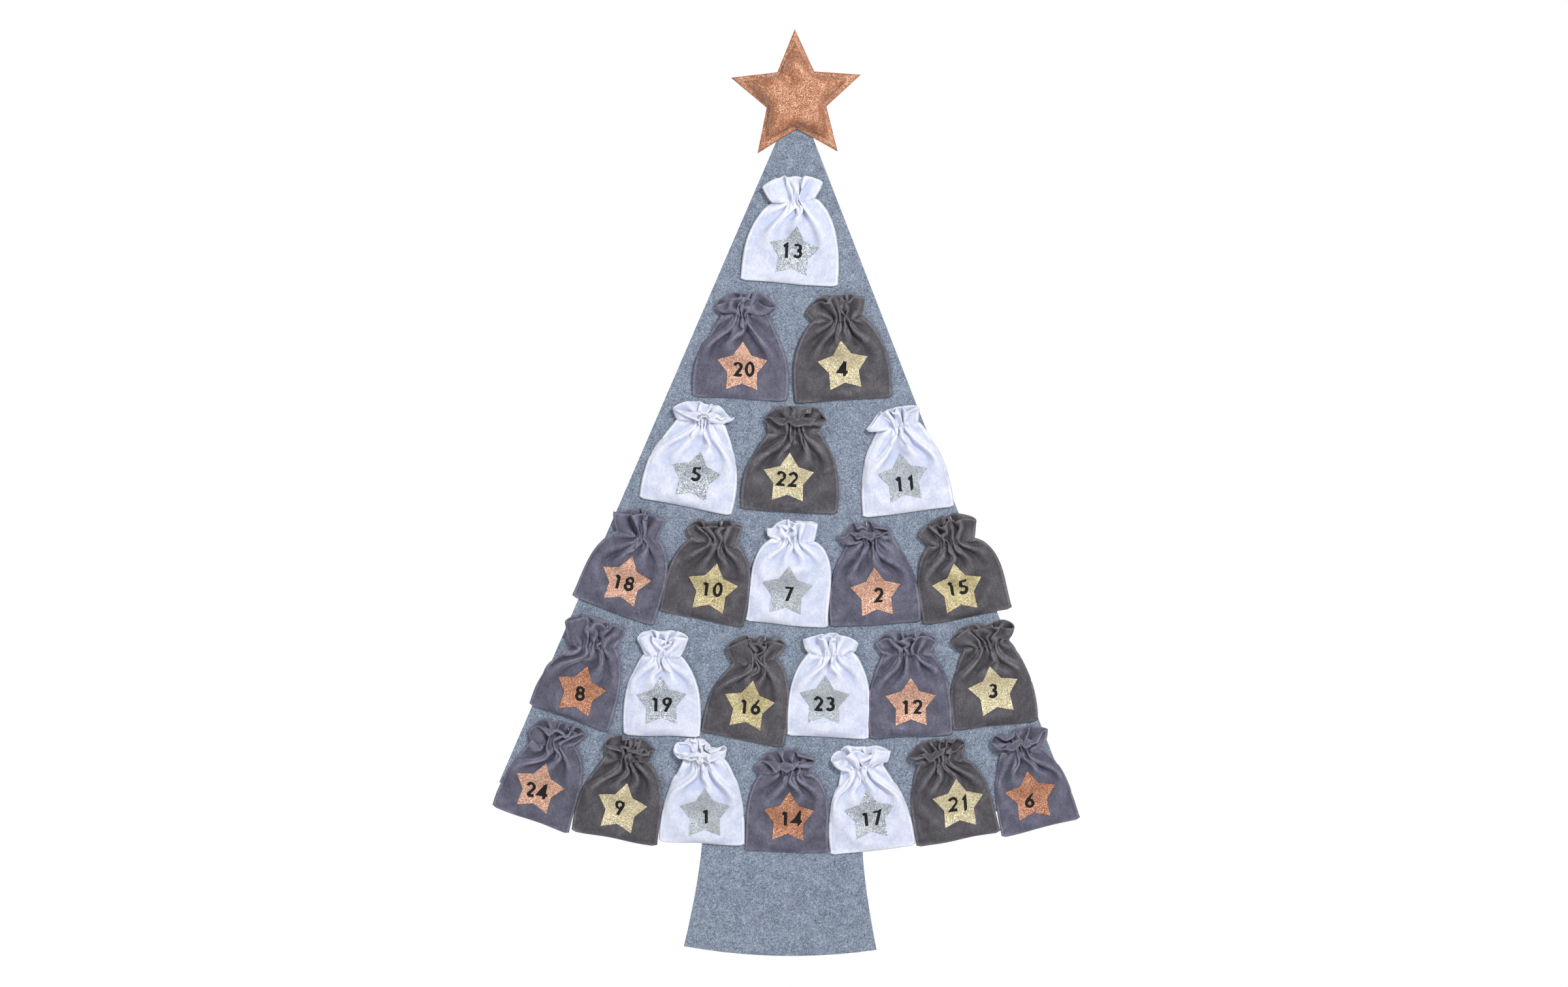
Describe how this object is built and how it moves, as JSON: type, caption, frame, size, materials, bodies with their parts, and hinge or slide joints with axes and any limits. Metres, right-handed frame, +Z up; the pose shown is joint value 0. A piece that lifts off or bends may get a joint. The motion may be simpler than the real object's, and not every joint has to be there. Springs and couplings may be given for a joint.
{
  "type": "tree advent calendar",
  "caption": "Felt fir tree wall hanging with a padded glitter star and six rows of numbered drawstring pouches that lift on their tacks.",
  "frame": {"origin": "eye of the hanging loop, on the wall behind the star", "axes": "+X to the right as seen from the front, +Y into the wall, +Z up; the front faces -Y"},
  "size_m": [0.6334, 0.0239, 0.9993],
  "materials": {
    "felt_panel": "matt needle felt, blue-grey melange",
    "felt_backing": "matt needle felt behind the star",
    "wadding": "loose fibre filling",
    "copper_glitter": "coarse copper glitter on cloth",
    "gold_glitter": "fine gold glitter on cloth",
    "silver_glitter": "fine silver glitter on cloth",
    "white_suedette": "brushed off-white suedette",
    "slate_suedette": "brushed slate suedette",
    "charcoal_suedette": "brushed charcoal suedette",
    "cord": "twisted cord",
    "number_print": "matt black print",
    "thread": "sewing thread"
  },
  "bodies": {
    "panel": {"tree_panel": "felt_panel", "star_back": "felt_backing", "star_filling": "wadding", "star_front": "copper_glitter", "hanging_loop": "cord"},
    "pouch_13": {"pouch_13": "white_suedette", "star_patch_13": "silver_glitter"},
    "pouch_20": {"pouch_20": "slate_suedette", "star_patch_20": "copper_glitter"},
    "pouch_04": {"pouch_04": "charcoal_suedette", "star_patch_04": "gold_glitter"},
    "pouch_05": {"pouch_05": "white_suedette", "star_patch_05": "silver_glitter"},
    "pouch_22": {"pouch_22": "charcoal_suedette", "star_patch_22": "gold_glitter"},
    "pouch_11": {"pouch_11": "white_suedette", "star_patch_11": "silver_glitter"},
    "pouch_18": {"pouch_18": "slate_suedette", "star_patch_18": "copper_glitter"},
    "pouch_10": {"pouch_10": "charcoal_suedette", "star_patch_10": "gold_glitter"},
    "pouch_07": {"pouch_07": "white_suedette", "star_patch_07": "silver_glitter"},
    "pouch_02": {"pouch_02": "slate_suedette", "star_patch_02": "copper_glitter"},
    "pouch_15": {"pouch_15": "charcoal_suedette", "star_patch_15": "gold_glitter"},
    "pouch_08": {"pouch_08": "slate_suedette", "star_patch_08": "copper_glitter"},
    "pouch_19": {"pouch_19": "white_suedette", "star_patch_19": "silver_glitter"},
    "pouch_16": {"pouch_16": "charcoal_suedette", "star_patch_16": "gold_glitter"},
    "pouch_23": {"pouch_23": "white_suedette", "star_patch_23": "silver_glitter"},
    "pouch_12": {"pouch_12": "slate_suedette", "star_patch_12": "copper_glitter"},
    "pouch_03": {"pouch_03": "charcoal_suedette", "star_patch_03": "gold_glitter"},
    "pouch_24": {"pouch_24": "slate_suedette", "star_patch_24": "copper_glitter"},
    "pouch_09": {"pouch_09": "charcoal_suedette", "star_patch_09": "gold_glitter"},
    "pouch_01": {"pouch_01": "white_suedette", "star_patch_01": "silver_glitter"},
    "pouch_14": {"pouch_14": "slate_suedette", "star_patch_14": "copper_glitter"},
    "pouch_17": {"pouch_17": "white_suedette", "star_patch_17": "silver_glitter"},
    "pouch_21": {"pouch_21": "charcoal_suedette", "star_patch_21": "gold_glitter"},
    "pouch_06": {"pouch_06": "slate_suedette", "star_patch_06": "copper_glitter"}
  },
  "joints": [
    {"name": "pouch_13_lift", "type": "hinge", "parent": "panel", "child": "pouch_13", "pos_m": [0.00177, -0.0033, -0.11128], "axis": [-0.9987, 0, 0.0506], "range_deg": [0, 60]},
    {"name": "pouch_20_lift", "type": "hinge", "parent": "panel", "child": "pouch_20", "pos_m": [-0.05102, -0.0033, -0.23628], "axis": [-0.9994, 0, 0.0349], "range_deg": [0, 60]},
    {"name": "pouch_04_lift", "type": "hinge", "parent": "panel", "child": "pouch_04", "pos_m": [0.04743, -0.0033, -0.23628], "axis": [-0.9963, 0, -0.0854], "range_deg": [0, 57]},
    {"name": "pouch_05_lift", "type": "hinge", "parent": "panel", "child": "pouch_05", "pos_m": [-0.09209, -0.0033, -0.35528], "axis": [-0.9851, 0, 0.1719], "range_deg": [0, 60]},
    {"name": "pouch_22_lift", "type": "hinge", "parent": "panel", "child": "pouch_22", "pos_m": [0.0048, -0.0033, -0.35728], "axis": [-0.9992, 0, 0.0401], "range_deg": [0, 60]},
    {"name": "pouch_11_lift", "type": "hinge", "parent": "panel", "child": "pouch_11", "pos_m": [0.11443, -0.0033, -0.35628], "axis": [-0.991, 0, -0.134], "range_deg": [0, 60]},
    {"name": "pouch_18_lift", "type": "hinge", "parent": "panel", "child": "pouch_18", "pos_m": [-0.1513, -0.0033, -0.47428], "axis": [-0.9461, 0, 0.3239], "range_deg": [0, 57]},
    {"name": "pouch_10_lift", "type": "hinge", "parent": "panel", "child": "pouch_10", "pos_m": [-0.07299, -0.0033, -0.47628], "axis": [-0.986, 0, 0.1668], "range_deg": [0, 57]},
    {"name": "pouch_07_lift", "type": "hinge", "parent": "panel", "child": "pouch_07", "pos_m": [0.00846, -0.0033, -0.47928], "axis": [-0.9974, 0, 0.0715], "range_deg": [0, 60]},
    {"name": "pouch_02_lift", "type": "hinge", "parent": "panel", "child": "pouch_02", "pos_m": [0.08761, -0.0033, -0.47728], "axis": [-0.9971, 0, -0.0767], "range_deg": [0, 51]},
    {"name": "pouch_15_lift", "type": "hinge", "parent": "panel", "child": "pouch_15", "pos_m": [0.1722, -0.0033, -0.46928], "axis": [-0.9789, 0, -0.2045], "range_deg": [0, 60]},
    {"name": "pouch_08_lift", "type": "hinge", "parent": "panel", "child": "pouch_08", "pos_m": [-0.19659, -0.0033, -0.59028], "axis": [-0.9466, 0, 0.3223], "range_deg": [0, 60]},
    {"name": "pouch_19_lift", "type": "hinge", "parent": "panel", "child": "pouch_19", "pos_m": [-0.13155, -0.0033, -0.60128], "axis": [-1, 0, 0.0035], "range_deg": [0, 45]},
    {"name": "pouch_16_lift", "type": "hinge", "parent": "panel", "child": "pouch_16", "pos_m": [-0.02678, -0.0033, -0.60528], "axis": [-0.9863, 0, 0.165], "range_deg": [0, 60]},
    {"name": "pouch_23_lift", "type": "hinge", "parent": "panel", "child": "pouch_23", "pos_m": [0.04941, -0.0033, -0.59928], "axis": [-0.9998, 0, 0.0209], "range_deg": [0, 60]},
    {"name": "pouch_12_lift", "type": "hinge", "parent": "panel", "child": "pouch_12", "pos_m": [0.1297, -0.0033, -0.59728], "axis": [-0.9979, 0, -0.0645], "range_deg": [0, 54]},
    {"name": "pouch_03_lift", "type": "hinge", "parent": "panel", "child": "pouch_03", "pos_m": [0.21251, -0.0033, -0.58428], "axis": [-0.9907, 0, -0.1357], "range_deg": [0, 60]},
    {"name": "pouch_24_lift", "type": "hinge", "parent": "panel", "child": "pouch_24", "pos_m": [-0.2361, -0.0033, -0.70037], "axis": [-0.9472, 0, 0.3206], "range_deg": [0, 60]},
    {"name": "pouch_09_lift", "type": "hinge", "parent": "panel", "child": "pouch_09", "pos_m": [-0.16276, -0.0033, -0.71437], "axis": [-0.9863, 0, 0.165], "range_deg": [0, 48]},
    {"name": "pouch_01_lift", "type": "hinge", "parent": "panel", "child": "pouch_01", "pos_m": [-0.08316, -0.0033, -0.71637], "axis": [-0.9995, 0, 0.0314], "range_deg": [0, 60]},
    {"name": "pouch_14_lift", "type": "hinge", "parent": "panel", "child": "pouch_14", "pos_m": [0.00588, -0.0033, -0.72337], "axis": [-1, 0, 0.007], "range_deg": [0, 60]},
    {"name": "pouch_17_lift", "type": "hinge", "parent": "panel", "child": "pouch_17", "pos_m": [0.08292, -0.0033, -0.72137], "axis": [-0.9905, 0, -0.1374], "range_deg": [0, 54]},
    {"name": "pouch_21_lift", "type": "hinge", "parent": "panel", "child": "pouch_21", "pos_m": [0.16698, -0.0033, -0.70937], "axis": [-0.9785, 0, -0.2062], "range_deg": [0, 60]},
    {"name": "pouch_06_lift", "type": "hinge", "parent": "panel", "child": "pouch_06", "pos_m": [0.2502, -0.0033, -0.69637], "axis": [-0.9673, 0, -0.2538], "range_deg": [0, 57]}
  ]
}
